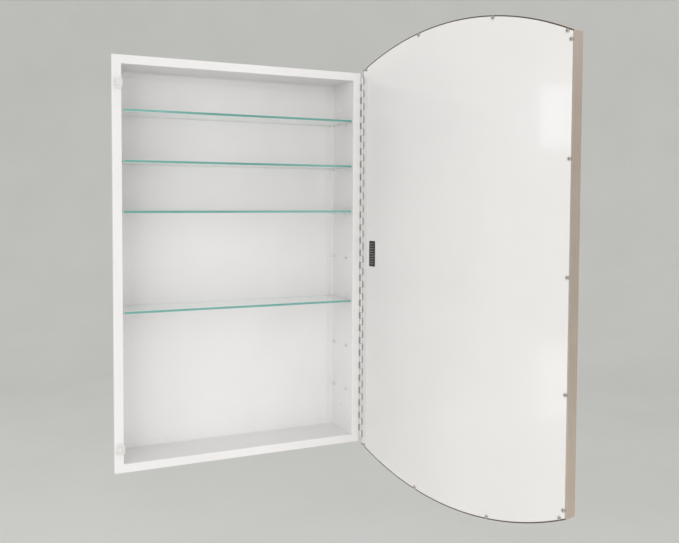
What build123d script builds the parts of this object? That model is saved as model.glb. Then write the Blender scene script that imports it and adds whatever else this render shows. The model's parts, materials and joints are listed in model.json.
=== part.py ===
from build123d import *
import os
from math import asin, cos, pi, sin, sqrt

# Recessed bathroom cabinet with an arched mirror door, millimetres.
# +X right, +Y into the wall, +Z up. Origin: centre of the back panel's rear face.

# cabinet body, folded from painted steel sheet
sheet = 0.9
inner_width = 457.0
inner_height = 711.0
cabinet_depth = 95.0
flange_width = 16.0
flange_return = 9.0
front_bend = 1.5
rear_bend = 4.0
rear_lip = 12.0
panel_margin = 2.0

# lanced shelf tabs on both side walls
tab_width = 12.0
tab_reach = 5.0
tab_slot = 3.4
tab_rows = 7
tab_pitch = 90.0
tab_middle_z = 3.2
tab_front_y = -67.0
tab_rear_y = -11.0

# dimpled screw holes through the side walls into the studs
stud_hole_radius = 2.6
stud_hole_y = -39.5
stud_hole_z = 306.0
dimple_radius = 7.5
dimple_floor_radius = 5.0
dimple_depth = 1.2

# glass shelves, on tab rows counted from the middle one
shelf_rows = [3, 2, 1, -1]
shelf_thickness = 5.0
shelf_side_gap = 1.5
shelf_front_y = -92.0
shelf_rear_y = -4.5
shelf_corner = 3.0
resting_gap = 0.05

# soft stops on the free side of the flange
bumper_width = 13.0
bumper_height = 14.0
bumper_thickness = 4.9
bumper_z = 322.0

# continuous hinge beside the flange
axis_x = 247.0
axis_out = 2.8
knuckle_radius = 2.3
pin_radius = 1.1
running_gap = 0.05
knuckle_pitch = 12.7
knuckle_count = 57
knuckle_end_gap = 0.3
leaf_thickness = 1.0
leaf_notch = 1.2
door_leaf_width = 12.0
rivet_count = 8
rivet_radius = 2.0

# arched door
door_width = 499.0
door_straight = 753.0
arch_rise = 57.0
door_thickness = 23.0
door_gap = 2.5
rest_angle = 101.8
frame_wall = 1.6
frame_face = 10.0
ledge_width = 11.0
back_sheet = 2.8
panel_play = 0.4
mirror_thickness = 4.0
mirror_bevel = 20.0
mirror_bevel_drop = 1.6
bracket_thickness = 1.2
bracket_leg = 40.0
magnet_z = 300.0
screw_inset = 4.6
screw_shank_radius = 1.4
screw_head_radius = 3.3
screw_head_height = 1.8
screw_length = 7.0

# derived places
front_y = -cabinet_depth
axis_y = front_y - axis_out
half_width = inner_width / 2
half_height = inner_height / 2
flange_edge = half_width + flange_width
hinge_half = knuckle_pitch * knuckle_count / 2
door_back = axis_y - door_gap
door_front = door_back - door_thickness
mirror_front = door_front + frame_wall
core_back = door_back - back_sheet - frame_wall - bracket_thickness
arch_radius = ((door_width / 2) ** 2 + arch_rise**2) / (2 * arch_rise)


def block(x, y, z):
    """Box between two limits on each axis."""
    size = [abs(b - a) for a, b in (x, y, z)]
    return Pos(sum(x) / 2, sum(y) / 2, sum(z) / 2) * Box(*size)


def cylinder_x(radius, x, y, z):
    return Pos(sum(x) / 2, y, z) * Rot(0, 90, 0) * Cylinder(radius, abs(x[1] - x[0]))


def cylinder_y(radius, x, y, z):
    return Pos(x, sum(y) / 2, z) * Rot(90, 0, 0) * Cylinder(radius, abs(y[1] - y[0]))


# cabinet body

def fillet_near(face, point, radius):
    corner = min(face.vertices(), key=lambda v: (Vector(v) - Vector(*point)).length)
    return fillet(corner, radius)


def folded_wall(inner, half_length):
    """One wall on the +X side: flange return, flange, wall, rear bend and rear lip."""
    outer = inner + flange_width
    rear_edge = front_y + flange_return
    lip_front = -2 * sheet
    lip_rear = -sheet
    outline = Polyline(
        (outer, rear_edge), (outer, front_y), (inner, front_y), (inner, lip_front),
        (inner - rear_lip, lip_front), (inner - rear_lip, lip_rear), (inner + sheet, lip_rear),
        (inner + sheet, front_y + sheet), (outer - sheet, front_y + sheet), (outer - sheet, rear_edge),
        close=True)
    section = make_face(outline)
    section = fillet_near(section, (outer, front_y), front_bend)
    section = fillet_near(section, (inner, front_y), front_bend)
    section = fillet_near(section, (inner, lip_front), rear_bend)
    section = fillet_near(section, (inner + sheet, lip_rear), rear_bend + sheet)
    section = fillet_near(section, (inner + sheet, front_y + sheet), front_bend - sheet)
    section = fillet_near(section, (outer - sheet, front_y + sheet), front_bend - sheet)
    wall = extrude(section, half_length + flange_width, both=True)

    # both ends are mitred at 45 degrees, from the flange to the lip
    reach = rear_lip + 1
    over = flange_width + 1
    mitre = Polyline(
        (inner - reach, half_length - reach), (inner + over, half_length + over),
        (inner + over, -half_length - over), (inner - reach, -half_length + reach), close=True)
    mitre_block = extrude(Plane.XZ * make_face(mitre), cabinet_depth * 2, both=True)
    return wall & mitre_block


def stud_dimple(inner, z):
    """Conical dimple pressed outward round a screw hole: its skin, then the space inside it."""
    skin_radius = dimple_radius + sheet / 2
    outside = Pos(inner + dimple_depth / 2 + sheet / 2, stud_hole_y, z) * Rot(0, 90, 0) * Cone(
        skin_radius, dimple_floor_radius + sheet / 2, dimple_depth + sheet)
    inside = Pos(inner + dimple_depth / 2, stud_hole_y, z) * Rot(0, 90, 0) * Cone(
        dimple_radius, dimple_floor_radius, dimple_depth)
    hole = cylinder_x(stud_hole_radius, (inner - 1, inner + 4), stud_hole_y, z)
    return outside, inside + hole


def shelf_tab(inner, y, z):
    """A tab lanced from the wall and turned inward, and the slot that it leaves below it."""
    y_span = (y - tab_width / 2, y + tab_width / 2)
    tab = block((inner - tab_reach, inner + sheet), y_span, (z - sheet, z))
    tab = fillet(tab.edges().filter_by(Axis.Z).sort_by(Axis.X)[:2], 1.5)
    slot = block((inner - 1, inner + sheet + 1), y_span, (z - sheet - tab_slot, z - sheet))
    return tab, slot


def tab_z(row):
    return tab_middle_z + tab_pitch * row


def side_wall():
    wall = folded_wall(half_width, half_height)
    for z in (-stud_hole_z, stud_hole_z):
        skin, space = stud_dimple(half_width, z)
        wall = wall + skin - space
    half_rows = tab_rows // 2
    for row in range(-half_rows, half_rows + 1):
        for y in (tab_front_y, tab_rear_y):
            tab, slot = shelf_tab(half_width, y, tab_z(row))
            wall = wall - slot + tab
    return wall


def back_panel():
    """Flat sheet welded over the walls' rear lips."""
    x = half_width - panel_margin
    z = half_height - panel_margin
    return block((-x, x), (-sheet, 0), (-z, z))


def bumper(z):
    """Rounded pad on the flange that the closed door rests against."""
    x = -(half_width + flange_edge) / 2
    pad = block((x - bumper_width / 2, x + bumper_width / 2), (front_y - bumper_thickness, front_y),
                (z - bumper_height / 2, z + bumper_height / 2))
    pad = fillet(pad.edges().filter_by(Axis.Y), 2.5)
    return fillet(pad.edges().group_by(Axis.Y)[0], 1.6)


def glass_shelf(row):
    half = half_width - shelf_side_gap
    bottom = tab_z(row) + resting_gap
    pane = block((-half, half), (shelf_front_y, shelf_rear_y), (bottom, bottom + shelf_thickness))
    pane = fillet(pane.edges().filter_by(Axis.Z), shelf_corner)
    return chamfer(pane.edges().group_by(Axis.Z)[0] + pane.edges().group_by(Axis.Z)[-1], 0.5)


# continuous hinge

def knuckle_spans(first):
    """Height limits of every second knuckle, from the first one named."""
    spans = []
    for index in range(first, knuckle_count, 2):
        low = -hinge_half + knuckle_pitch * index
        spans.append((low + knuckle_end_gap / 2, low + knuckle_pitch - knuckle_end_gap / 2))
    return spans


def knuckles(first, strap_x, strap_y):
    """Rolled knuckles on the axis, each with the strap that joins it to its leaf."""
    bore = pin_radius + running_gap
    solids = []
    for low, high in knuckle_spans(first):
        roll = Pos(axis_x, axis_y, (low + high) / 2) * Cylinder(knuckle_radius, high - low)
        strap = block(strap_x, strap_y, (low, high))
        core = Pos(axis_x, axis_y, (low + high) / 2) * Cylinder(bore, high - low + 1)
        solids.append(roll + strap - core)
    return solids


def hinge_leaf_cabinet():
    """Leaf welded to the outside of the flange's return."""
    x = (flange_edge, flange_edge + leaf_thickness)
    notch_y = axis_y + knuckle_radius + leaf_notch
    plate = block(x, (notch_y, front_y + flange_return - 0.5), (-hinge_half, hinge_half))
    return plate + knuckles(0, x, (axis_y + 1.2, notch_y))


def hinge_leaf_door():
    """Leaf flat on the door's back, drawn with the door closed."""
    y = (door_back, door_back + leaf_thickness)
    notch_x = axis_x - knuckle_radius - leaf_notch
    plate = block((axis_x - door_leaf_width, notch_x), y, (-hinge_half, hinge_half))
    for x, z in rivet_places():
        plate -= cylinder_y(rivet_radius, x, (door_back - 1, door_back + 3), z)
    return plate + knuckles(1, (notch_x, axis_x - 1.0), y)


def hinge_pin():
    """Pin through all the knuckles, with a peened head at each end."""
    rod = Cylinder(pin_radius, 2 * hinge_half + 1.0)
    head = Cylinder(knuckle_radius - 0.4, 0.8)
    lift = hinge_half + 0.7
    return Pos(axis_x, axis_y, 0) * (rod + Pos(0, 0, lift) * head + Pos(0, 0, -lift) * head)


def rivet_places():
    step = 2 * hinge_half / rivet_count
    x = axis_x - door_leaf_width + 3.6
    return [(x, -hinge_half + step * (i + 0.5)) for i in range(rivet_count)]


def hinge_rivets():
    """Flush rivets through the leaf and the back sheet into the frame's ledge."""
    depth = leaf_thickness + back_sheet + frame_wall
    rivets = []
    for x, z in rivet_places():
        top = door_back + leaf_thickness
        rivets.append(cylinder_y(rivet_radius, x, (top - depth, top), z))
    return Compound(rivets)


# arched door, drawn closed

def arched_face(inset):
    """Door outline moved inward by inset: straight sides and an arc at each end, facing -Y."""
    x = door_width / 2 - inset
    radius = arch_radius - inset
    centre_z = door_straight / 2 + arch_rise - arch_radius
    shoulder_z = centre_z + sqrt(radius**2 - x**2)
    crown_z = centre_z + radius
    outline = [
        Line((-x, -shoulder_z), (-x, shoulder_z)),
        ThreePointArc((-x, shoulder_z), (0, crown_z), (x, shoulder_z)),
        Line((x, shoulder_z), (x, -shoulder_z)),
        ThreePointArc((x, -shoulder_z), (0, -crown_z), (-x, -shoulder_z)),
    ]
    return Plane.XZ * make_face(outline)


def arched_plate(inset, back, front):
    """Plate of the door's outline between two depths, back nearer the wall than front."""
    return Pos(0, back, 0) * extrude(arched_face(inset), back - front, dir=(0, -1, 0))


def arched_ring(outer_inset, inner_inset, back, front):
    return arched_plate(outer_inset, back, front) - arched_plate(inner_inset, back + 1, front - 1)


def whole_frame():
    """Channel all round: side wall, front face over the mirror, and a ledge for the back sheet."""
    wall = arched_ring(0, frame_wall, door_back - panel_play, door_front)
    face = arched_ring(0, frame_face, door_front + frame_wall, door_front)
    ledge_back = door_back - back_sheet
    ledge = arched_ring(0.5, ledge_width, ledge_back, ledge_back - frame_wall)
    return wall + face + ledge


def stile_region(side):
    """Wedge that holds one straight side: its ends follow the mitres at the shoulders."""
    slope = asin(door_width / 2 / arch_radius)
    lean = (pi / 2 - slope) / 2
    reach = 40.0
    x = door_width / 2
    z = door_straight / 2
    inner_x = x - reach * cos(lean)
    inner_z = z - reach * sin(lean)
    points = [(side * x, z), (side * inner_x, inner_z), (side * inner_x, -inner_z), (side * x, -z),
              (side * (x + 1), -z), (side * (x + 1), z)]
    return extrude(Plane.XZ * make_face(Polyline(*points, close=True)), 200, both=True)


def screw_places():
    """Centres of the back-sheet screws: five down the free side, four along each arch."""
    edge_x = door_width / 2 - screw_inset
    places = [(-edge_x, z) for z in (-363, -182, 0, 182, 363)]
    arc_radius = arch_radius - screw_inset
    centre_z = door_straight / 2 + arch_rise - arch_radius
    for x in (-238, -89, 89, 238):
        z = centre_z + sqrt(arc_radius**2 - x**2)
        places += [(x, z), (x, -z)]
    return places


def panel_screw(x, z):
    """Small pan-head screw with a cross recess, through the back sheet into the ledge."""
    top = door_back + screw_head_height
    shank = cylinder_y(screw_shank_radius, x, (door_back - screw_length, door_back), z)
    head = cylinder_y(screw_head_radius, x, (door_back, top), z)
    head = fillet(head.edges().group_by(Axis.Y)[-1], 1.1)
    arm = 1.9
    slot = 0.45
    cross = block((x - arm, x + arm), (top - 1.0, top + 1), (z - slot, z + slot))
    cross += block((x - slot, x + slot), (top - 1.0, top + 1), (z - arm, z + arm))
    return shank + head - cross


def screw_clearance(radius):
    holes = [cylinder_y(radius, x, (door_back - 8, door_back + 1), z) for x, z in screw_places()]
    holes += [cylinder_y(rivet_radius, x, (door_back - 8, door_back + 1), z) for x, z in rivet_places()]
    return holes


def corner_bracket(side, up):
    """Bent steel strip that ties a stile to an arched rail at one shoulder, inside the channel."""
    back = door_back - back_sheet - frame_wall
    band = arched_ring(frame_wall + 0.3, ledge_width - 1.5, back, back - bracket_thickness)
    x = side * door_width / 2
    z = up * door_straight / 2
    near = Pos(x, back, z) * Rot(90, 0, 0) * Cylinder(bracket_leg, 20)
    bracket = band & near
    for hole in screw_clearance(screw_shank_radius):
        bracket -= hole
    return bracket


def mirror_glass():
    """Silvered pane with a wide ground bevel round its front."""
    inset = frame_wall + 0.4
    flat_inset = frame_face + mirror_bevel
    step_y = mirror_front + mirror_bevel_drop
    pane = arched_plate(inset, mirror_front + mirror_thickness, step_y)
    bevel_bottom = Pos(0, step_y, 0) * arched_face(frame_face + 0.6)
    bevel_top = Pos(0, mirror_front + 0.05, 0) * arched_face(flat_inset)
    return pane + loft([bevel_bottom, bevel_top])


def magnet_place(z):
    x = -door_width / 2 + frame_wall + 4
    back = core_back - 0.3
    return block((x, x + 9), (back - 5, back), (z - 16, z + 16))


def core_board():
    """Board that fills the channel between the mirror and the ledge, with magnet pockets."""
    board = arched_plate(frame_wall + 0.6, core_back - 0.2, mirror_front + mirror_thickness + 0.1)
    for z in (-magnet_z, magnet_z):
        pocket = magnet_place(z)
        board -= block((pocket.bounding_box().min.X - 0.2, pocket.bounding_box().max.X + 0.2),
                       (core_back - 5.6, core_back + 1), (z - 16.2, z + 16.2))
    for x, z in screw_places():
        board -= cylinder_y(2.0, x, (core_back - 5, core_back + 1), z)
    return board


def back_sheet_panel():
    """White sheet over the door's back, inside the frame's side wall."""
    panel = arched_plate(frame_wall + 0.4, door_back, door_back - back_sheet)
    for hole in screw_clearance(screw_shank_radius):
        panel -= hole
    return panel


def plaque():
    """Plain black pad with raised ridges, stuck beside the hinge near mid-height."""
    x_right = door_width / 2 - 24
    pad = block((x_right - 17, x_right), (door_back, door_back + 0.8), (-13, 37.5))
    pad = fillet(pad.edges().filter_by(Axis.Y), 1.2)
    ridge_count = 9
    for i in range(ridge_count):
        z = -13 + 50.5 * (i + 1) / (ridge_count + 1)
        pad += block((x_right - 14, x_right - 3), (door_back + 0.6, door_back + 1.3), (z - 0.9, z + 0.9))
    return pad


def opened(shape):
    """Turn a piece of the closed door to the angle at which the door stands at rest."""
    hinge_axis = Axis((axis_x, axis_y, 0), (0, 0, 1))
    return shape.rotate(hinge_axis, rest_angle)


# all the pieces

def cabinet_pieces():
    right = side_wall()
    top = Rot(0, -90, 0) * folded_wall(half_height, half_width)
    pieces = {
        "side_wall_right": right,
        "side_wall_left": mirror(right, about=Plane.YZ),
        "top_wall": top,
        "bottom_wall": mirror(top, about=Plane.XY),
        "back_panel": back_panel(),
        "bumper_upper": bumper(bumper_z),
        "bumper_lower": bumper(-bumper_z - 6),
        "hinge_leaf_cabinet": hinge_leaf_cabinet(),
        "hinge_pin": hinge_pin(),
    }
    for number, row in enumerate(shelf_rows, start=1):
        pieces[f"glass_shelf_{number}"] = glass_shelf(row)
    return pieces


def door_pieces():
    frame = whole_frame()
    for hole in screw_clearance(screw_shank_radius):
        frame -= hole
    hinge_side = stile_region(1)
    free_side = stile_region(-1)
    rails = frame - hinge_side - free_side
    upper_half = block((-400, 400), (-400, 400), (0, 600))
    closed = {
        "frame_stile_hinge": frame & hinge_side,
        "frame_stile_free": frame & free_side,
        "frame_rail_top": rails & upper_half,
        "frame_rail_bottom": rails - upper_half,
        "mirror_glass": mirror_glass(),
        "core_board": core_board(),
        "door_back_sheet": back_sheet_panel(),
        "back_sheet_screws": Compound([panel_screw(x, z) for x, z in screw_places()]),
        "hinge_leaf_door": hinge_leaf_door(),
        "hinge_rivets": hinge_rivets(),
        "magnet_upper": magnet_place(magnet_z),
        "magnet_lower": magnet_place(-magnet_z),
        "black_ridged_pad": plaque(),
    }
    corners = {"hinge_top": (1, 1), "hinge_bottom": (1, -1), "free_top": (-1, 1), "free_bottom": (-1, -1)}
    for name, (side, up) in corners.items():
        closed[f"corner_bracket_{name}"] = corner_bracket(side, up)
    return {name: opened(shape) for name, shape in closed.items()}


os.makedirs("parts", exist_ok=True)
for name, shape in {**cabinet_pieces(), **door_pieces()}.items():
    export_step(shape, f"parts/{name}.step")
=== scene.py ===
import json
import math
import random

import bmesh
import bpy
from mathutils import Matrix, Vector


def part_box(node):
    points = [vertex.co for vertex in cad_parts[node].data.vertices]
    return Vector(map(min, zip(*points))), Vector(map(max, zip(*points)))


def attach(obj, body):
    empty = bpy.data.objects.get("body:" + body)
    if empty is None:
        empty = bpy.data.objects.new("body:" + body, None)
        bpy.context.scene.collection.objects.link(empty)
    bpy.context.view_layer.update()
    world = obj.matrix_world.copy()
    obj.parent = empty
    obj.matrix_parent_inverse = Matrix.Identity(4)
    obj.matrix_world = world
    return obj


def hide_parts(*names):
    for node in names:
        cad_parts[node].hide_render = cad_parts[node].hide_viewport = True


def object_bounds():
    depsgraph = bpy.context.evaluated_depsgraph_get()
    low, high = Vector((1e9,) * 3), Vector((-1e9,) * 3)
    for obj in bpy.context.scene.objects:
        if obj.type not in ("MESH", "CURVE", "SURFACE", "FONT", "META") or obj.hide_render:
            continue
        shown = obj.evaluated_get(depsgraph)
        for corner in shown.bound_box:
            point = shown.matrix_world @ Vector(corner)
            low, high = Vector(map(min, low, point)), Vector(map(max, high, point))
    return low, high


# Recessed bathroom cabinet with an arched mirror door: the looks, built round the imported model.
# Metres, +X right (hinge side), +Y into the wall, +Z up. Sizes a user may change stand in the
# dictionary beside each piece's code.

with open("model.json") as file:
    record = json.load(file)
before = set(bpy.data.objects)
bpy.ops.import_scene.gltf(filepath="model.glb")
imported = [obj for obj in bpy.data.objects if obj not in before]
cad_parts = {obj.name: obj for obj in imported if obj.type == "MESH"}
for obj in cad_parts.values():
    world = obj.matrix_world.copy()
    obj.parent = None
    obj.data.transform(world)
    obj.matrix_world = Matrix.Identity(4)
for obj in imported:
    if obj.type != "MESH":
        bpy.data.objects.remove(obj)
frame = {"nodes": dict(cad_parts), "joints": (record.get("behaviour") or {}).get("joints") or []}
nodes = frame["nodes"]
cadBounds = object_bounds()
mm = 0.001

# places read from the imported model

hinge = next(joint for joint in frame["joints"] if joint["name"] == "door_hinge")
hingePlace = Vector(hinge["pos_m"])
restAngle = -math.radians(hinge["range_deg"][0])      # how far the door stands open at rest
closeDoor = (Matrix.Translation(hingePlace) @ Matrix.Rotation(-restAngle, 4, "Z")
             @ Matrix.Translation(-hingePlace))
openDoor = closeDoor.inverted()


flangeWidth = 16 * mm
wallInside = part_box("side_wall_right")[1].x - flangeWidth


def closedBox(*names):                                # box of some door nodes with the door shut
    points = [closeDoor @ v.co for name in names for v in nodes[name].data.vertices]
    low = Vector([min(p[i] for p in points) for i in range(3)])
    high = Vector([max(p[i] for p in points) for i in range(3)])
    return low, high


# camera

cameraPlan = {
    "place": (-0.5174, -1.5458, 0.1155),
    "heading": 25.28,       # degrees from +Y towards +X
    "tilt": -2.56,          # degrees above level
    "roll": 0.23,
    "lens": 43.13,
    "shift": (0.0206, -0.0495),
}


def addCamera(plan):
    camera = bpy.data.cameras.new("studioCamera")
    camera.sensor_width = 36
    camera.lens = plan["lens"]
    camera.shift_x, camera.shift_y = plan["shift"]
    heading, tilt, roll = (math.radians(plan[key]) for key in ("heading", "tilt", "roll"))
    holder = bpy.data.objects.new("studioCamera", camera)
    turn = (Matrix.Rotation(-heading, 4, "Z") @ Matrix.Rotation(math.pi / 2 + tilt, 4, "X")
            @ Matrix.Rotation(roll, 4, "Z"))
    holder.matrix_world = Matrix.Translation(plan["place"]) @ turn
    bpy.context.scene.collection.objects.link(holder)
    bpy.context.scene.camera = holder


addCamera(cameraPlan)
print("camera placed")

# materials: a socket that sums and products can use, and a material that makes its nodes


class Wire:
    def __init__(self, finish, socket):
        self.finish = finish
        self.socket = socket

    def __add__(self, other):
        return self.finish.math("ADD", self, other)

    def __radd__(self, other):
        return self.finish.math("ADD", other, self)

    def __sub__(self, other):
        return self.finish.math("SUBTRACT", self, other)

    def __rsub__(self, other):
        return self.finish.math("SUBTRACT", other, self)

    def __mul__(self, other):
        return self.finish.math("MULTIPLY", self, other)

    def __rmul__(self, other):
        return self.finish.math("MULTIPLY", other, self)

    def __truediv__(self, other):
        return self.finish.math("DIVIDE", self, other)

    def __abs__(self):
        return self.finish.math("ABSOLUTE", self)


class Finish:
    def __init__(self, name):
        self.material = bpy.data.materials.new(name)
        self.material.use_nodes = True
        self.tree = self.material.node_tree
        self.tree.nodes.clear()

    def put(self, socket, value):
        if isinstance(value, Wire):
            self.tree.links.new(value.socket, socket)
        elif socket.type == "RGBA" and len(value) == 3:
            socket.default_value = (*value, 1)
        else:
            socket.default_value = value

    def node(self, kind, settings=None, sockets=None, output=0):
        made = self.tree.nodes.new("ShaderNode" + kind)
        for key, value in (settings or {}).items():
            if key == "stops":
                self.setStops(made.color_ramp, value)
            else:
                setattr(made, key, value)
        for key, value in (sockets or {}).items():
            self.put(made.inputs[key], value)
        return Wire(self, made.outputs[output] if made.outputs else None)

    def setStops(self, ramp, stops):
        while len(ramp.elements) < len(stops):
            ramp.elements.new(0.5)
        for element, (position, colour) in zip(ramp.elements, stops):
            element.position = position
            element.color = (*colour, 1)

    def math(self, operation, first, second=None):
        sockets = {0: first} if second is None else {0: first, 1: second}
        return self.node("Math", {"operation": operation}, sockets)

    def place(self):
        return self.node("TexCoord", output="Object")

    def closedPlace(self):                            # as on the shut door, centred on its hinge
        return self.node("Mapping", {"vector_type": "TEXTURE"},
                         {"Vector": self.place(), "Location": hingePlace, "Rotation": (0, 0, restAngle)})

    def stretched(self, vector, scale):
        return self.node("Mapping", {}, {"Vector": vector, "Scale": scale})

    def axes(self, vector):
        return [self.node("SeparateXYZ", {}, {0: vector}, i) for i in range(3)]

    def noise(self, vector, scale, detail=2.0, roughness=0.5):
        return self.node("TexNoise", {}, {"Vector": vector, "Scale": scale, "Detail": detail,
                                          "Roughness": roughness})

    def between(self, value, low, high, outLow=0.0, outHigh=1.0):
        return self.node("MapRange", {"interpolation_type": "SMOOTHSTEP"},
                         {0: value, 1: low, 2: high, 3: outLow, 4: outHigh})

    def mix(self, mask, first, second):
        return self.node("Mix", {"data_type": "RGBA"}, {0: mask, 6: first, 7: second}, 2)

    def bump(self, height, distance, normal=None):
        sockets = {"Height": height, "Distance": distance, "Strength": 1.0}
        if normal is not None:
            sockets["Normal"] = normal
        return self.node("Bump", {}, sockets)

    def shader(self, sockets):
        return self.node("BsdfPrincipled", {}, sockets)

    def close(self, shader):
        self.node("OutputMaterial", {}, {"Surface": shader})
        return self.material


# finishes

enamelLook = {
    "tone": (0.885, 0.876, 0.872),
    "shade": (0.860, 0.852, 0.850),
    "speck": (0.62, 0.60, 0.57),
    "tabOpeningShade": (0.030, 0.028, 0.026),        # painted shade: the cut edges of the openings behind the shelf tabs, darkened as the cavity behind them would be
    "roughness": 0.30,
    "sheet": 0.9 * mm,
    "tabMiddle": -39 * mm,  # the tabs stand in pairs, this far apart on either side
    "tabSpread": 28 * mm,
    "peelSize": 520,        # orange-peel cells per metre
    "peelDepth": 0.05 * mm,
}


def enamelFinish(name, look, coat=0.25):
    finish = Finish(name)
    place = finish.place()
    mottle = finish.between(finish.noise(place, 7, 4), 0.35, 0.68)
    speck = finish.between(finish.noise(place, 330, 1), 0.76, 0.80)
    smudge = finish.between(finish.noise(place, 22, 6, 0.62), 0.50, 0.72)
    tone = finish.mix(mottle, look["tone"], look["shade"])
    tone = finish.mix(speck * 0.5, tone, look["speck"])
    x, y, z = finish.axes(place)
    depthIn = abs(x) - wallInside
    inSheet = (finish.between(depthIn, 0.05 * mm, 0.20 * mm)
               * (1 - finish.between(depthIn, look["sheet"] - 0.20 * mm, look["sheet"] - 0.05 * mm)))
    fromTab = abs(abs(y - look["tabMiddle"]) - look["tabSpread"])
    atTab = 1 - finish.between(fromTab, 6.5 * mm, 7.5 * mm)
    # painted shade: the cut edges inside the sheet at the tab openings are darkened
    tone = finish.mix(0.95 * (inSheet * atTab), tone, look["tabOpeningShade"])
    peel = finish.noise(place, look["peelSize"], 2, 0.55)
    sag = finish.noise(place, 38, 2)
    normal = finish.bump(sag, 0.16 * mm, finish.bump(peel, look["peelDepth"]))
    return finish.close(finish.shader({
        "Base Color": tone, "Roughness": look["roughness"] + 0.12 * smudge + 0.04 * mottle,
        "Coat Weight": coat, "Coat Roughness": 0.16, "Normal": normal}))


hingeLook = {
    "tone": (0.78, 0.77, 0.755),
    "rubAndGapShade": (0.42, 0.40, 0.38),      # bare metal and grime where knuckles meet, and painted shade in the gaps between them
    "notchShade": (0.050, 0.045, 0.040),  # painted shade: the notches beside the knuckles are darkened as if in shadow
    "pitch": 12.7 * mm,
    "rubShadeWidth": 0.050,              # share of a knuckle
    "reach": 2.6 * mm,              # the knuckles end here, and the flat leaves begin
    "flangeNotchShade": 0.85,
    "doorNotchShade": 0.50,
}


def hingeFinish(name, look):
    finish = Finish(name)
    place = finish.place()
    x, y, z = finish.axes(place)
    x, y = x - hingePlace.x, y - hingePlace.y
    row = z / look["pitch"]                                   # 57 knuckles: joints lie at half pitches
    joint = 1 - finish.between(abs(finish.math("FRACT", row) - 0.5), 0.5 * look["rubShadeWidth"],
                               1.6 * look["rubShadeWidth"])
    radius = finish.math("SQRT", x * x + y * y)
    joint = joint * (1 - finish.between(radius, look["reach"], look["reach"] + 0.3 * mm))
    worn = finish.between(finish.noise(place, 420, 3), 0.38, 0.60)
    mottle = finish.noise(place, 60, 3)
    # partly painted shade: the joints between knuckles are darkened, with worn bare metal in them
    tone = finish.mix(joint * (0.20 + 0.5 * worn), look["tone"], look["rubAndGapShade"])
    tone = finish.mix(0.06 * mottle, tone, look["rubAndGapShade"])
    # the knuckles alternate: one faces the flange across its notch, the next faces the door's leaf
    doorRow = finish.math("GREATER_THAN", finish.math("FRACT", 0.5 * row + 0.25), 0.5)
    flangeSide = finish.between(y, -1.4 * mm, -0.7 * mm) * (1 - finish.between(x, -1.2 * mm, -0.8 * mm))
    doorSide = finish.between(x, 0.5 * mm, 1.3 * mm) * (1 - finish.between(x, 2.4 * mm, 2.6 * mm))
    # painted shade: the notch beside each knuckle is darkened, more on the flange side than the door side
    notchShade = look["flangeNotchShade"] * (doorRow * flangeSide) + look["doorNotchShade"] * ((1 - doorRow) * doorSide)
    tone = finish.mix(notchShade, tone, look["notchShade"])
    peel = finish.noise(place, 900, 2)
    return finish.close(finish.shader({
        "Base Color": tone, "Roughness": 0.34 + 0.2 * joint + 0.08 * mottle, "Coat Weight": 0.15,
        "Coat Roughness": 0.2, "Normal": finish.bump(peel, 0.03 * mm)}))


sheetLook = {
    "tone": (0.840, 0.828, 0.820),
    "shade": (0.815, 0.805, 0.798),
    "streak": (0.60, 0.59, 0.57),
    "roughness": 0.17,
    "wave": 0.30 * mm,
}


def doorSheetFinish(name, look):
    finish = Finish(name)
    place = finish.closedPlace()
    cloud = finish.between(finish.noise(place, 4.5, 3), 0.3, 0.7)
    streak = finish.noise(finish.stretched(place, (60, 60, 4)), 1, 4, 0.6)
    haze = finish.between(finish.noise(finish.stretched(place, (3, 3, 1)), 5, 4, 0.55), 0.30, 0.75)
    tone = finish.mix(cloud, look["tone"], look["shade"])
    tone = finish.mix(0.04 * streak, tone, look["streak"])
    wave = finish.noise(place, 9, 1)
    peel = finish.noise(place, 450, 2)
    normal = finish.bump(wave, look["wave"], finish.bump(peel, 0.012 * mm))
    return finish.close(finish.shader({
        "Base Color": tone, "Roughness": look["roughness"] + 0.04 * haze + 0.03 * streak,
        "Coat Weight": 0.6, "Coat Roughness": 0.05, "Normal": normal}))


nickelLook = {
    "tone": (0.790, 0.670, 0.580),
    "deep": (0.650, 0.540, 0.460),
    "worn": (0.820, 0.740, 0.680),
    # painted shade: a dark line along the arched rear edge
    "rearEdgeShade": (0.085, 0.055, 0.042),
    "roughness": 0.27,
    "grain": 1500,          # brush lines per metre across the grain
}


def nickelFinish(name, look, arched):
    finish = Finish(name)
    place = finish.closedPlace()
    x, y, z = finish.axes(place)
    if arched:              # the brushing follows the arc: turn the place into angle and radius
        x = x + (hingePlace.x - door["middle"])
        rise = abs(z) - door["archCentre"]
        along = finish.math("ARCTAN2", x, rise) * door["archRadius"]
        across = finish.math("SQRT", x * x + rise * rise)
    else:
        along = z
        across = x
    grainPlace = finish.node("CombineXYZ", {}, {0: along * 0.012, 1: across, 2: y})
    grain = finish.noise(grainPlace, look["grain"], 3, 0.7)
    fine = finish.noise(grainPlace, 3.1 * look["grain"], 2, 0.6)
    cloud = finish.between(finish.noise(place, 12, 4), 0.35, 0.7)
    brush = finish.between(0.6 * grain + 0.4 * fine, 0.32, 0.68)
    tone = finish.mix(brush, look["deep"], look["tone"])
    tone = finish.mix(0.25 * cloud, tone, look["worn"])
    if arched:              # painted shade: the rear edge is darkened, standing for the shadowed gap behind the sheet
        rear = door["frameBack"] - hingePlace.y
        tone = finish.mix(0.85 * finish.between(y, rear - 0.9 * mm, rear - 0.4 * mm), tone, look["rearEdgeShade"])
    return finish.close(finish.shader({
        "Base Color": tone, "Metallic": 0.92, "Roughness": look["roughness"] + 0.16 * brush + 0.05 * cloud,
        "Normal": finish.bump(grain, 0.03 * mm)}))


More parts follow.
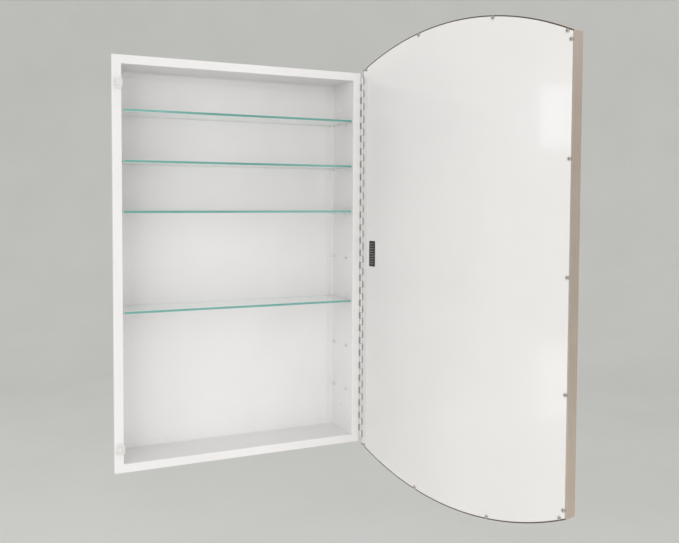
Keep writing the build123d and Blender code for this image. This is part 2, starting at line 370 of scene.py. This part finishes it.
mirrorLook = {
    "silver": (0.90, 0.92, 0.92),
    "haze": (0.87, 0.89, 0.89),
    "bevel": (0.965, 0.975, 0.970),         # lighter on the bevel: partly thinner glass over the silver, partly a painted sheen
    "bevelLineShade": (0.52, 0.57, 0.56),              # painted shade: a dark line where the bevel begins
    "dust": (0.70, 0.70, 0.69),
}


def mirrorFinish(name, plan):
    finish = Finish(name)
    place = finish.closedPlace()
    x, y, z = finish.axes(place)
    x = x + (hingePlace.x - door["middle"])               # from here to the bevel: the pane's outline
    rise = abs(z) - door["archCentre"]
    fromSide = (door["half"] - plan["inset"]) - abs(x)
    fromArch = (door["archRadius"] - plan["inset"]) - finish.math("SQRT", x * x + rise * rise)
    inBevel = plan["bevelWidth"] - finish.math("MINIMUM", fromSide, fromArch)
    bevel = finish.between(inBevel, -0.3 * mm, 0.3 * mm)
    bevelLineShade = 1 - finish.between(abs(inBevel), 0.3 * mm, 1.1 * mm)
    haze = finish.between(finish.noise(place, 6, 5, 0.6), 0.45, 0.75)
    dust = finish.between(finish.noise(place, 900, 1), 0.70, 0.76)
    tone = finish.mix(haze, mirrorLook["silver"], mirrorLook["haze"])
    # partly painted sheen: the bevel is lighter
    tone = finish.mix(bevel, tone, mirrorLook["bevel"])
    # painted shade: a dark line along the start of the bevel
    tone = finish.mix(0.6 * bevelLineShade, tone, mirrorLook["bevelLineShade"])
    tone = finish.mix(0.25 * dust, tone, mirrorLook["dust"])
    return finish.close(finish.shader({
        "Base Color": tone, "Metallic": 1.0, "Roughness": 0.012 + 0.02 * haze + 0.05 * dust,
        "Coat Weight": 0.3, "Coat Roughness": 0.01}))


glassLook = {
    "face": (0.955, 0.985, 0.975),
    "smear": (0.930, 0.965, 0.955),
    "shadow": (0.950, 0.980, 0.970),
    "edge": (0.120, 0.340, 0.300),
    "edgeLight": (0.210, 0.480, 0.430),
    "seamed": (0.700, 0.785, 0.765),
    "seamedLight": (0.810, 0.870, 0.855),
}


def glassFaceFinish(name, look):                      # clear to light, and a pane to the eye
    finish = Finish(name)
    place = finish.place()
    smear = finish.between(finish.noise(place, 14, 6, 0.65), 0.50, 0.76)
    ripple = finish.noise(place, 5, 1)
    glass = finish.shader({
        "Base Color": finish.mix(smear, look["face"], look["smear"]),
        "Roughness": 0.006 + 0.015 * smear, "IOR": 1.5, "Transmission Weight": 1.0,
        "Normal": finish.bump(ripple, 0.02 * mm)})
    clear = finish.node("BsdfTransparent", {}, {"Color": look["shadow"]})
    shadow = finish.node("LightPath", output="Is Shadow Ray")
    return finish.close(finish.node("MixShader", {}, {0: shadow, 1: glass, 2: clear}))


def glassEdgeFinish(name, deep, light):
    finish = Finish(name)
    place = finish.place()
    cloud = finish.noise(place, 5, 3)
    scratch = finish.noise(finish.stretched(place, (0.02, 0.02, 1)), 2600, 2)
    tone = finish.mix(finish.between(cloud, 0.3, 0.75), deep, light)
    return finish.close(finish.shader({
        "Base Color": tone, "Roughness": 0.16 + 0.10 * scratch, "Coat Weight": 0.6,
        "Coat Roughness": 0.08, "Normal": finish.bump(scratch, 0.01 * mm)}))


def screwFinish(name, dark, light):
    finish = Finish(name)
    place = finish.place()
    blotch = finish.between(finish.noise(place, 480, 4), 0.38, 0.66)
    turned = finish.noise(place, 2600, 2)
    tone = finish.mix(blotch, dark, light)
    return finish.close(finish.shader({
        "Base Color": tone, "Metallic": 0.95, "Roughness": 0.28 + 0.2 * blotch,
        "Normal": finish.bump(turned, 0.02 * mm)}))


def bumperFinish(name):
    finish = Finish(name)
    place = finish.place()
    cloud = finish.between(finish.noise(place, 140, 4), 0.35, 0.7)
    tone = finish.mix(cloud, (0.86, 0.85, 0.83), (0.78, 0.77, 0.75))
    return finish.close(finish.shader({
        "Base Color": tone, "Roughness": 0.24 + 0.12 * cloud, "Subsurface Weight": 0.35,
        "Subsurface Radius": (0.004, 0.004, 0.0035), "Subsurface Scale": 1.0,
        "Normal": finish.bump(finish.noise(place, 900, 2), 0.03 * mm)}))


def padFinish(name):
    finish = Finish(name)
    place = finish.closedPlace()
    grit = finish.noise(place, 1800, 2)
    dust = finish.between(finish.noise(place, 160, 4), 0.42, 0.72)
    tone = finish.mix(dust, (0.018, 0.018, 0.021), (0.060, 0.060, 0.064))
    return finish.close(finish.shader({
        "Base Color": tone, "Roughness": 0.42 + 0.25 * dust, "Normal": finish.bump(grit, 0.03 * mm)}))


def ridgeFinish(name):
    finish = Finish(name)
    place = finish.closedPlace()
    rubAndGapShade = finish.between(finish.noise(place, 900, 3), 0.35, 0.65)
    tone = finish.mix(rubAndGapShade, (0.10, 0.10, 0.11), (0.27, 0.27, 0.28))
    return finish.close(finish.shader({"Base Color": tone, "Roughness": 0.38 + 0.2 * rubAndGapShade,
                                       "Normal": finish.bump(rubAndGapShade, 0.02 * mm)}))


def boardFinish(name):
    finish = Finish(name)
    place = finish.closedPlace()
    fibre = finish.noise(finish.stretched(place, (1, 1, 0.3)), 700, 5, 0.7)
    tone = finish.node("ValToRGB", {"stops": [(0.3, (0.20, 0.12, 0.06)), (0.6, (0.40, 0.27, 0.15)),
                                              (0.8, (0.52, 0.38, 0.23))]}, {0: fibre})
    return finish.close(finish.shader({"Base Color": tone, "Roughness": 0.78 + 0.15 * fibre,
                                       "Normal": finish.bump(fibre, 0.15 * mm)}))


def plainMetalFinish(name, dark, light, roughness):
    finish = Finish(name)
    place = finish.place()
    patch = finish.between(finish.noise(place, 130, 5, 0.65), 0.35, 0.68)
    return finish.close(finish.shader({
        "Base Color": finish.mix(patch, dark, light), "Metallic": 0.85,
        "Roughness": roughness + 0.15 * patch,
        "Normal": finish.bump(finish.noise(place, 1400, 2), 0.03 * mm)}))


# the door's shape, read from its shut box

frameLow, frameHigh = closedBox("frame_stile_free", "frame_stile_hinge",
                                "frame_rail_top", "frame_rail_bottom")
sheetLow, sheetHigh = closedBox("door_back_sheet")
mirrorLow, mirrorHigh = closedBox("mirror_glass")
stileHigh = closedBox("frame_stile_free")[1]

door = {
    "middle": (frameLow.x + frameHigh.x) / 2,
    "half": (frameHigh.x - frameLow.x) / 2,
    "shoulder": stileHigh.z,
    "crown": frameHigh.z,
    "front": frameLow.y,
    "back": sheetHigh.y,
    "frameBack": frameHigh.y,
    "wall": 1.6 * mm,
    "face": 10.0 * mm,
    "ledge": 11.0 * mm,
}
rise = door["crown"] - door["shoulder"]
door["archRadius"] = (door["half"] ** 2 + rise**2) / (2 * rise)
door["archCentre"] = door["crown"] - door["archRadius"]
door["archAngle"] = math.asin(door["half"] / door["archRadius"])
door["mitre"] = (math.pi / 2 - door["archAngle"]) / 2      # lean of the joint at a shoulder

enamel = enamelFinish("whiteEnamel", enamelLook)
hingePaint = hingeFinish("hingePaint", hingeLook)
doorWhite = doorSheetFinish("doorWhiteSheet", sheetLook)
nickelStraight = nickelFinish("satinNickelStraight", nickelLook, False)
nickelArched = nickelFinish("satinNickelArched", nickelLook, True)
glassFace = glassFaceFinish("shelfGlassFace", glassLook)
glassEdge = glassEdgeFinish("shelfGlassPolishedEdge", glassLook["edge"], glassLook["edgeLight"])
glassSeam = glassEdgeFinish("shelfGlassSeamedEdge", glassLook["seamed"], glassLook["seamedLight"])
screwSteel = screwFinish("screwSteel", (0.62, 0.58, 0.52), (0.86, 0.83, 0.78))
# painted shade: a dark material for the screws' cross recesses
screwRecessShade = screwFinish("screwRecessShade", (0.05, 0.04, 0.035), (0.14, 0.12, 0.10))
milkyPad = bumperFinish("milkyPad")
blackPad = padFinish("blackPad")
blackRidge = ridgeFinish("blackRidgeTops")
fibreboard = boardFinish("fibreboard")
zincStrip = plainMetalFinish("zincStrip", (0.42, 0.43, 0.44), (0.60, 0.60, 0.60), 0.34)
ferrite = plainMetalFinish("darkFerrite", (0.05, 0.05, 0.055), (0.10, 0.10, 0.105), 0.55)
print("materials made")

keptNodes = {
    enamel: ["side_wall_left", "side_wall_right", "top_wall", "bottom_wall", "back_panel"],
    hingePaint: ["hinge_leaf_cabinet", "hinge_leaf_door", "hinge_rivets", "hinge_pin"],
    fibreboard: ["core_board"],
    ferrite: ["magnet_upper", "magnet_lower"],
    zincStrip: ["corner_bracket_hinge_top", "corner_bracket_hinge_bottom",
                "corner_bracket_free_top", "corner_bracket_free_bottom"],
}
for material, names in keptNodes.items():
    for name in names:
        for slot in nodes[name].material_slots:
            slot.material = material

# modelling helpers


def settle(name):                                     # name the new primitive and put its place in its mesh
    piece = bpy.context.active_object
    piece.name = name
    piece.data.name = name
    bpy.ops.object.transform_apply(location=True, rotation=True, scale=True)
    return piece


def addBlock(name, low, high):
    bpy.ops.object.select_all(action="DESELECT")
    middle = [(a + b) / 2 for a, b in zip(low, high)]
    bpy.ops.mesh.primitive_cube_add(size=1, location=middle)
    bpy.context.active_object.scale = [b - a for a, b in zip(low, high)]
    return settle(name)


def addDisc(name, radius, place, depth, vertices, turn=(math.pi / 2, 0, 0)):
    bpy.ops.object.select_all(action="DESELECT")
    bpy.ops.mesh.primitive_cylinder_add(vertices=vertices, radius=radius, depth=depth,
                                        location=place, rotation=turn)
    return settle(name)


def pick(piece, kind, test):                          # in edit mode, select only what passes the test
    if piece.mode != "EDIT":
        bpy.ops.object.mode_set(mode="EDIT")
    bpy.ops.mesh.select_mode(type=kind)
    bpy.ops.mesh.select_all(action="DESELECT")
    mesh = bmesh.from_edit_mesh(piece.data)
    parts = {"FACE": mesh.faces, "EDGE": mesh.edges, "VERT": mesh.verts}[kind]
    for part in parts:
        if test(part):
            part.select_set(True)
    mesh.select_flush_mode()
    bmesh.update_edit_mesh(piece.data)


def cut(piece, place, normal, drop=None, fill=True, near=0.1 * mm):     # points this near lie on the plane
    pick(piece, "FACE", lambda face: True)
    bpy.ops.mesh.bisect(plane_co=place, plane_no=normal, threshold=near, use_fill=fill and drop is not None,
                        clear_inner=drop == "inner", clear_outer=drop == "outer")


def edgeMiddle(edge):
    return (edge.verts[0].co + edge.verts[1].co) / 2


def edgeRun(edge):
    return (edge.verts[1].co - edge.verts[0].co).normalized()


def addModifier(piece, kind, **settings):
    if piece.mode != "OBJECT":
        bpy.ops.object.mode_set(mode="OBJECT")
    bpy.context.view_layer.objects.active = piece
    modifier = piece.modifiers.new(kind.title(), kind)
    for key, value in settings.items():
        setattr(modifier, key, value)
    bpy.ops.object.modifier_apply(modifier=modifier.name)


def softenEdges(piece, width, segments=2, angle=30):
    addModifier(piece, "BEVEL", width=width, segments=segments, limit_method="ANGLE",
                angle_limit=math.radians(angle))


def outward(piece):                                   # merge doubles, then turn the faces outwards
    pick(piece, "FACE", lambda face: True)
    bpy.ops.mesh.remove_doubles(threshold=0.002 * mm)
    bpy.ops.mesh.normals_make_consistent(inside=False)
    bpy.ops.object.mode_set(mode="OBJECT")


def smooth(piece, angle=32):
    if piece.mode != "OBJECT":
        bpy.ops.object.mode_set(mode="OBJECT")
    bpy.ops.object.select_all(action="DESELECT")
    piece.select_set(True)
    bpy.context.view_layer.objects.active = piece
    bpy.ops.object.shade_smooth_by_angle(angle=math.radians(angle))


def paint(piece, *materials):
    piece.data.materials.clear()
    for material in materials:
        piece.data.materials.append(material)


def hang(piece, body, slot, *replaced):               # a finished piece joins its body
    if piece.mode != "OBJECT":
        bpy.ops.object.mode_set(mode="OBJECT")
    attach(piece, body)
    if replaced:
        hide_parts(*replaced)


def onDoor(piece, slot, *replaced):                   # drawn on the shut door, then swung open in its mesh
    piece.data.transform(openDoor)
    hang(piece, "door", slot, *replaced)


# door frame: one bent channel section, swept straight and round the arch

frameLook = {
    "edgeRound": 0.45 * mm,
    "archSteps": 56,        # from the crown to past a shoulder
    "overrun": 2.0,         # degrees swept past the joint before it is cut
}


def channelSection(name):                             # at the crown, seen along X
    wall = door["wall"]
    bpy.ops.object.select_all(action="DESELECT")
    bpy.ops.mesh.primitive_plane_add(
        size=1, rotation=(0, math.pi / 2, 0),
        location=(0, (door["front"] + door["frameBack"]) / 2, door["crown"] - wall / 2))
    bpy.context.active_object.scale = (wall, door["frameBack"] - door["front"], 1)
    piece = settle(name)
    ledgeBack = sheetLow.y
    for y in (door["front"] + wall, ledgeBack - wall, ledgeBack):
        cut(piece, (0, y, 0), (0, 1, 0))
    inner = door["crown"] - wall
    lips = [(door["front"], door["front"] + wall, door["face"]), (ledgeBack - wall, ledgeBack, door["ledge"])]
    for low, high, reach in lips:
        pick(piece, "EDGE", lambda edge: abs(edge.verts[0].co.z - inner) < 0.01 * mm
             and abs(edge.verts[1].co.z - inner) < 0.01 * mm and low < edgeMiddle(edge).y < high)
        bpy.ops.mesh.extrude_edges_move(TRANSFORM_OT_translate={"value": (0, 0, wall - reach)})
    return piece


def finishHalf(piece, middleTest, mirrorAxis, material):
    pick(piece, "FACE", middleTest)
    bpy.ops.mesh.delete(type="FACE")
    outward(piece)
    addModifier(piece, "MIRROR", use_axis=[axis == mirrorAxis for axis in "XYZ"],
                use_mirror_merge=True, merge_threshold=0.01 * mm)
    softenEdges(piece, frameLook["edgeRound"])
    smooth(piece)
    paint(piece, material)


def archedRail(name, side):
    piece = channelSection(name)
    pick(piece, "FACE", lambda face: True)
    sweep = door["archAngle"] + math.radians(frameLook["overrun"])
    bpy.ops.mesh.spin(steps=frameLook["archSteps"], angle=sweep, center=(0, 0, door["archCentre"]),
                      axis=(0, 1, 0))
    mesh = bmesh.from_edit_mesh(piece.data)
    right = 1 if sum(v.co.x for v in mesh.verts) > 0 else -1
    lean = door["mitre"]
    cut(piece, (right * door["half"], 0, door["shoulder"]),
        (-right * math.sin(lean), 0, math.cos(lean)), "inner")
    finishHalf(piece, lambda face: abs(face.calc_center_median().x) < 0.001 * mm, "X", nickelArched)
    if side < 0:
        piece.data.transform(Matrix.Diagonal((1, 1, -1, 1)))
        outward(piece)
    piece.data.transform(Matrix.Translation((door["middle"], 0, 0)))
    return piece


def straightStile(name, side):
    piece = channelSection(name)
    bpy.ops.object.mode_set(mode="OBJECT")            # lay the section over, from the crown to the side
    piece.data.transform(Matrix.Rotation(math.pi / 2, 4, "Y")
                         @ Matrix.Translation((0, 0, door["half"] - door["crown"])))
    pick(piece, "FACE", lambda face: True)
    bpy.ops.mesh.extrude_region_move(TRANSFORM_OT_translate={"value": (0, 0, door["crown"])})
    lean = door["mitre"]
    cut(piece, (door["half"], 0, door["shoulder"]), (-math.sin(lean), 0, math.cos(lean)), "outer")
    finishHalf(piece, lambda face: abs(face.calc_center_median().z) < 0.001 * mm, "Z", nickelStraight)
    if side < 0:
        piece.data.transform(Matrix.Diagonal((-1, 1, 1, 1)))
        outward(piece)
    piece.data.transform(Matrix.Translation((door["middle"], 0, 0)))
    return piece


for name, side in (("frame_rail_top", 1), ("frame_rail_bottom", -1)):
    onDoor(archedRail(name + "_brushed", side), "satin_nickel", name)
for name, side in (("frame_stile_hinge", 1), ("frame_stile_free", -1)):
    onDoor(straightStile(name + "_brushed", side), "satin_nickel", name)
print("door frame made")

# arched sheets: a round blank trimmed to the door's sides, and its upper half mirrored


def archedBlank(name, inset, back, front, roundSteps, shapeHalf=None):
    radius = door["archRadius"] - inset
    half = door["half"] - inset
    piece = addDisc(name, radius, (0, (back + front) / 2, door["archCentre"]), back - front,
                    roundSteps)
    cut(piece, (half, 0, 0), (1, 0, 0), "outer")
    cut(piece, (-half, 0, 0), (-1, 0, 0), "outer")
    if shapeHalf:
        shapeHalf(piece)
    cut(piece, (0, 0, 0), (0, 0, 1), "inner", fill=False)
    bpy.ops.object.mode_set(mode="OBJECT")
    addModifier(piece, "MIRROR", use_axis=[False, False, True], use_mirror_merge=True,
                merge_threshold=0.01 * mm)
    pick(piece, "EDGE", lambda edge: abs(edgeMiddle(edge).z) < 0.001 * mm and abs(edgeRun(edge).z) < 0.01)
    bpy.ops.mesh.dissolve_edges(use_verts=True)
    outward(piece)
    return piece


sheetPlan = {
    "edgeRound": 0.7 * mm,
    "roundSteps": 720,      # facets of a whole turn, of which the arch keeps a seventh
    "panelInset": door["half"] - (sheetHigh.x - sheetLow.x) / 2,
}


def backSheet():
    piece = archedBlank("door_back_sheet_gloss", sheetPlan["panelInset"], sheetHigh.y, sheetLow.y,
                        sheetPlan["roundSteps"])
    softenEdges(piece, sheetPlan["edgeRound"], 3)
    piece.data.transform(Matrix.Translation((door["middle"], 0, 0)))
    smooth(piece, 40)
    addModifier(piece, "WEIGHTED_NORMAL", keep_sharp=True)     # the broad faces stay flat to their rims
    paint(piece, doorWhite)
    return piece


mirrorPlan = {
    "inset": door["half"] - (mirrorHigh.x - mirrorLow.x) / 2,
    "bevelWidth": 28.0 * mm,
    "bevelDrop": 2.2 * mm,
    "roundSteps": 180,      # facets of a whole turn: the frame hides the pane's edge
}


silvering = mirrorFinish("mirrorSilvering", mirrorPlan)


def grindBevel(piece, plan):                          # a flat pass along each side and arch facet
    width, drop = plan["bevelWidth"], plan["bevelDrop"]
    edge = door["half"] - plan["inset"]
    low = mirrorLow.y + drop
    for side in (-1, 1):
        cut(piece, (side * edge, low, 0), (side * drop, -width, 0), "outer", near=0.001 * mm)
    facet = 2 * math.pi / plan["roundSteps"]
    radius = (door["archRadius"] - plan["inset"]) * math.cos(facet / 2)
    count = math.ceil(door["archAngle"] / facet)
    for i in range(-count, count):
        angle = facet * (i + 0.5)
        x, z = math.sin(angle), math.cos(angle)
        cut(piece, (radius * x, low, door["archCentre"] + radius * z), (drop * x, -width, drop * z), "outer",
            near=0.001 * mm)


def mirrorPane():
    piece = archedBlank("mirror_glass_bevelled", mirrorPlan["inset"], mirrorHigh.y, mirrorLow.y,
                        mirrorPlan["roundSteps"], lambda blank: grindBevel(blank, mirrorPlan))
    piece.data.transform(Matrix.Translation((door["middle"], 0, 0)))
    smooth(piece, 2)
    paint(piece, silvering)
    return piece


onDoor(backSheet(), "door_white", "door_back_sheet")
onDoor(mirrorPane(), "mirror_silver", "mirror_glass")
print("door sheet and mirror made")

# pan-head screws of the back sheet, modelled once

screwPlan = {
    "headRadius": 3.3 * mm,
    "headHeight": 1.8 * mm,
    "shankRadius": 1.4 * mm,
    "length": 7.0 * mm,
    "headCrown": 1.15 * mm,
    "tipLength": 1.2 * mm,
    "tipShare": 0.15,       # of the shank's radius
    "recessArm": 2.0 * mm,
    "recessWidth": 0.9 * mm,
    "recessDepth": 1.1 * mm,
    "recessTaper": 0.55,
    "edgeRound": 0.10 * mm,
    "sides": 40,
    "inset": 4.6 * mm,
    "sideHeights": (-363, -182, 0, 182, 363),      # millimetres, down the free side
    "archOffsets": (-238, -89, 89, 238),           # millimetres, along each arch
    "seed": 7,
}


def screwPlaces(plan):
    edge = door["half"] - plan["inset"]
    places = [(-edge, height * mm) for height in plan["sideHeights"]]
    arc = door["archRadius"] - plan["inset"]
    for offset in plan["archOffsets"]:
        x = offset * mm
        z = door["archCentre"] + math.sqrt(arc**2 - x**2)
        places += [(x, z), (x, -z)]
    return places


def oneScrew(plan):                                   # head outwards along +Y, seat at the origin
    screw = addDisc("screwMaster", plan["headRadius"], (0, plan["headHeight"] / 2, 0),
                    plan["headHeight"], plan["sides"])
    top = plan["headHeight"]
    pick(screw, "EDGE", lambda edge: abs(edgeMiddle(edge).y - top) < 0.01 * mm)
    bpy.ops.mesh.bevel(offset=plan["headCrown"], segments=5, profile=0.6, affect="EDGES")
    pick(screw, "FACE", lambda face: face.normal.y < -0.9)      # the shank grows from the seat
    bpy.ops.mesh.inset(thickness=plan["headRadius"] - plan["shankRadius"], depth=0)
    for reach in (plan["length"] - plan["tipLength"], plan["tipLength"]):
        bpy.ops.mesh.extrude_region_move(TRANSFORM_OT_translate={"value": (0, -reach, 0)})
    bpy.ops.transform.resize(value=(plan["tipShare"], 1, plan["tipShare"]))
    bpy.ops.object.mode_set(mode="OBJECT")
    arm, width, depth = plan["recessArm"], plan["recessWidth"] / 2, plan["recessDepth"]
    for turned in (False, True):
        x, z = (arm, width) if not turned else (width, arm)
        cutter = addBlock("recessCutter", (-x, top - depth, -z), (x, top + 1 * mm, z))
        pick(cutter, "FACE", lambda face: face.normal.y < -0.9)  # the recess narrows downwards
        bpy.ops.transform.resize(value=(plan["recessTaper"], 1, plan["recessTaper"]))
        bpy.ops.object.mode_set(mode="OBJECT")
        addModifier(screw, "BOOLEAN", operation="DIFFERENCE", solver="EXACT", object=cutter)
        bpy.data.objects.remove(cutter)
    softenEdges(screw, plan["edgeRound"], 1, 40)
    smooth(screw, 35)
    paint(screw, screwSteel, screwRecessShade)
    for face in screw.data.polygons:                  # painted shade: the recess faces take the dark material
        middle = face.center
        deep = top - depth - 0.1 * mm < middle.y < top - 0.3 * mm
        face.material_index = 1 if deep and math.hypot(middle.x, middle.z) < arm + 0.1 * mm else 0
    return screw


def setScrews(plan):
    master = oneScrew(plan)
    draw = random.Random(plan["seed"])
    for number, (x, z) in enumerate(screwPlaces(plan), start=1):
        screw = master.copy()
        screw.data = master.data.copy()
        screw.name = screw.data.name = f"back_sheet_screw_{number:02d}"
        bpy.context.scene.collection.objects.link(screw)
        spin = Matrix.Rotation(draw.uniform(0, math.pi / 2), 4, "Y")
        screw.data.transform(Matrix.Translation((door["middle"] + x, door["back"], z)) @ spin)
        onDoor(screw, "screw_steel", "back_sheet_screws")
    bpy.data.objects.remove(master)


setScrews(screwPlan)
print("screws set")

# glass shelves

shelfPlan = {
    "cornerRadius": 3.0 * mm,
    "arris": 0.5 * mm,
}


def glassShelf(number):
    low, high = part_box(f"glass_shelf_{number}")
    shelf = addBlock(f"glass_shelf_{number}_pane", low, high)
    pick(shelf, "EDGE", lambda edge: abs(edgeRun(edge).z) > 0.9)
    bpy.ops.mesh.bevel(offset=shelfPlan["cornerRadius"], segments=6, affect="EDGES")
    pick(shelf, "EDGE", lambda edge: abs(edgeRun(edge).z) < 0.1)
    bpy.ops.mesh.bevel(offset=shelfPlan["arris"], segments=1, affect="EDGES")
    outward(shelf)
    paint(shelf, glassFace, glassEdge, glassSeam)
    for face in shelf.data.polygons:                  # broad faces, polished front edge, seamed others
        face.material_index = 0 if abs(face.normal.z) > 0.9 else 1 if face.normal.y < -0.9 else 2
    smooth(shelf, 25)
    hang(shelf, f"shelf_{number}", "shelf_glass", f"glass_shelf_{number}")


for number in range(1, 5):
    glassShelf(number)
print("shelves made")

# bumpers on the free side of the flange

bumperPlan = {
    "cornerRadius": 2.6 * mm,
    "crownRadius": 1.9 * mm,
    "dishMargin": 1.2 * mm,
    "dishSlope": 0.8 * mm,
    "dish": 0.35 * mm,
}


def bumper(name):
    low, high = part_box(name)
    pad = addBlock(name + "_moulded", low, high)
    pick(pad, "EDGE", lambda edge: abs(edgeRun(edge).y) > 0.9)
    bpy.ops.mesh.bevel(offset=bumperPlan["cornerRadius"], segments=6, affect="EDGES")
    pick(pad, "EDGE", lambda edge: abs(edgeMiddle(edge).y - low.y) < 0.01 * mm)
    bpy.ops.mesh.bevel(offset=bumperPlan["crownRadius"], segments=5, affect="EDGES")
    pick(pad, "FACE", lambda face: face.normal.y < -0.98)
    bpy.ops.mesh.inset(thickness=bumperPlan["dishMargin"], depth=0)
    bpy.ops.mesh.inset(thickness=bumperPlan["dishSlope"], depth=-bumperPlan["dish"])    # moulded dish
    smooth(pad, 40)
    paint(pad, milkyPad)
    hang(pad, "cabinet", "bumper_clear", name)


bumper("bumper_upper")
bumper("bumper_lower")
print("bumpers made")

# black ridged pad on the door's back

padPlan = {
    "thickness": 0.8 * mm,
    "cornerRadius": 1.2 * mm,
    "ridgeCount": 9,
    "ridgeHeight": 0.5 * mm,
    "ridgeWidth": 1.8 * mm,
    "ridgeLength": 11.0 * mm,
    "ridgeRound": 0.35 * mm,
    "ridgeSink": 0.2 * mm,  # how deep the ridges sit in the pad
    "edgeRound": 0.18 * mm,
}


def ridgedPad(plan):
    low, high = closedBox("black_ridged_pad")
    seat = low.y
    pad = addBlock("black_ridged_pad_moulded", low, (high.x, seat + plan["thickness"], high.z))
    pick(pad, "EDGE", lambda edge: abs(edgeRun(edge).y) > 0.9)
    bpy.ops.mesh.bevel(offset=plan["cornerRadius"], segments=5, affect="EDGES")
    softenEdges(pad, plan["edgeRound"])
    paint(pad, blackPad, blackRidge)
    x = (low.x + high.x) / 2
    top = seat + plan["thickness"]
    half = plan["ridgeLength"] / 2
    first = addBlock("ridgeMaster", (x - half, top - plan["ridgeSink"], -plan["ridgeWidth"] / 2),
                     (x + half, top + plan["ridgeHeight"], plan["ridgeWidth"] / 2))
    softenEdges(first, plan["ridgeRound"], 3)
    paint(first, blackPad, blackRidge)
    for face in first.data.polygons:
        face.material_index = 1 if face.center.y > top + 0.2 * mm else 0
    bpy.ops.object.select_all(action="DESELECT")
    step = (high.z - low.z) / (plan["ridgeCount"] + 1)
    for i in range(plan["ridgeCount"]):
        ridge = first.copy()
        ridge.data = first.data.copy()
        bpy.context.scene.collection.objects.link(ridge)
        ridge.data.transform(Matrix.Translation((0, 0, low.z + step * (i + 1))))
        ridge.select_set(True)
    bpy.data.objects.remove(first)
    pad.select_set(True)
    bpy.context.view_layer.objects.active = pad
    bpy.ops.object.join()
    smooth(pad, 40)
    onDoor(pad, "black_pad", "black_ridged_pad")


ridgedPad(padPlan)
print("pad made")

# plain studio: a pale floor that curves up into a backdrop all round, and soft lights

studioPlan = {
    "floorDrop": 0.95,      # below the door's lowest point: the cabinet hangs at its usual height
    "floorRadius": 5.5,
    "coveRadius": 3.2,
    "coveSteps": 16,
    "wallTop": 1.5,
    "colour": (0.78, 0.785, 0.755),
    "world": (0.690, 0.690, 0.695),
    "worldStrength": 1.0,
}


def floorFinish(name):
    finish = Finish(name)
    place = finish.place()
    cloud = finish.between(finish.noise(place, 1.6, 3), 0.3, 0.7)
    tint = Vector(studioPlan["colour"])
    tone = finish.mix(cloud, tint, tint * 0.97)
    return finish.close(finish.shader({"Base Color": tone, "Roughness": 0.85,
                                       "Normal": finish.bump(finish.noise(place, 300, 2), 0.05 * mm)}))


def addStudio(plan):
    bpy.ops.object.select_all(action="DESELECT")
    floorHeight = cadBounds[0].z - plan["floorDrop"]
    bpy.ops.mesh.primitive_circle_add(vertices=128, radius=plan["floorRadius"], fill_type="NGON",
                                      location=(0, 0, floorHeight))
    bowl = settle("studioBowl")
    pick(bowl, "EDGE", lambda edge: True)
    radius = plan["floorRadius"]
    cove = plan["coveRadius"]
    lastRadius, lastHeight = radius, 0.0
    for i in range(1, plan["coveSteps"] + 2):
        if i <= plan["coveSteps"]:
            angle = math.pi / 2 * i / plan["coveSteps"]
            newRadius, newHeight = radius + cove * math.sin(angle), cove * (1 - math.cos(angle))
        else:
            newRadius, newHeight = radius + cove, cove + plan["wallTop"]
        bpy.ops.mesh.extrude_edges_move(TRANSFORM_OT_translate={"value": (0, 0, newHeight - lastHeight)})
        scale = newRadius / lastRadius
        bpy.ops.transform.resize(value=(scale, scale, 1), center_override=(0, 0, 0))
        lastRadius, lastHeight = newRadius, newHeight
    bpy.ops.object.mode_set(mode="OBJECT")
    smooth(bowl, 60)
    paint(bowl, floorFinish("paleFloor"))


lightPlan = {
    "key": {"place": (-2.9, -3.0, 0.60), "aim": (0.05, -0.1, 0.0), "size": (3.2, 2.4), "watts": 53,
            "colour": (1.0, 0.970, 0.975), "mirrored": False},
    "side": {"place": (-4.2, 1.5, 0.70), "aim": (0.3, -0.45, 0.0), "size": (2.4, 1.8), "watts": 44,
             "colour": (1.0, 0.965, 0.955), "mirrored": False},
    "fill": {"place": (1.0, -4.0, 0.10), "aim": (-0.1, 0.0, 0.1), "size": (3.0, 2.0), "watts": 35,
             "colour": (1.0, 0.972, 0.985), "mirrored": False},
    # two small panels whose soft reflections lie near the free edge of the door's glossy back
    "upperPanel": {"place": (-3.70, 1.35, 0.70), "aim": (0.345, -0.55, 0.25), "size": (0.24, 0.42),
                   "watts": 0.85, "colour": (0.86, 0.93, 1.0), "mirrored": True},
    "lowerPanel": {"place": (-2.55, 0.80, -0.84), "aim": (0.345, -0.55, -0.16), "size": (0.18, 0.40),
                   "watts": 0.30, "colour": (1.0, 0.97, 0.88), "mirrored": True},
}


def addLight(name, plan):
    light = bpy.data.lights.new(name, "AREA")
    light.shape = "RECTANGLE"
    light.size, light.size_y = plan["size"]
    light.energy = plan["watts"]
    light.color = plan["colour"]
    holder = bpy.data.objects.new(name, light)
    place = Vector(plan["place"])
    facing = (Vector(plan["aim"]) - place).to_track_quat("-Z", "Y")
    holder.matrix_world = Matrix.Translation(place) @ facing.to_matrix().to_4x4()
    holder.visible_camera = False
    holder.visible_glossy = plan["mirrored"]
    bpy.context.scene.collection.objects.link(holder)


def addWorld(plan):
    world = bpy.data.worlds.new("studioWorld")
    world.use_nodes = True
    sky = world.node_tree.nodes["Background"]
    sky.inputs["Color"].default_value = (*plan["world"], 1)
    sky.inputs["Strength"].default_value = plan["worldStrength"]
    bpy.context.scene.world = world


addStudio(studioPlan)
for name, plan in lightPlan.items():
    addLight(name + "Light", plan)
addWorld(studioPlan)
bpy.context.scene.view_settings.view_transform = "Standard"
print("studio lit")
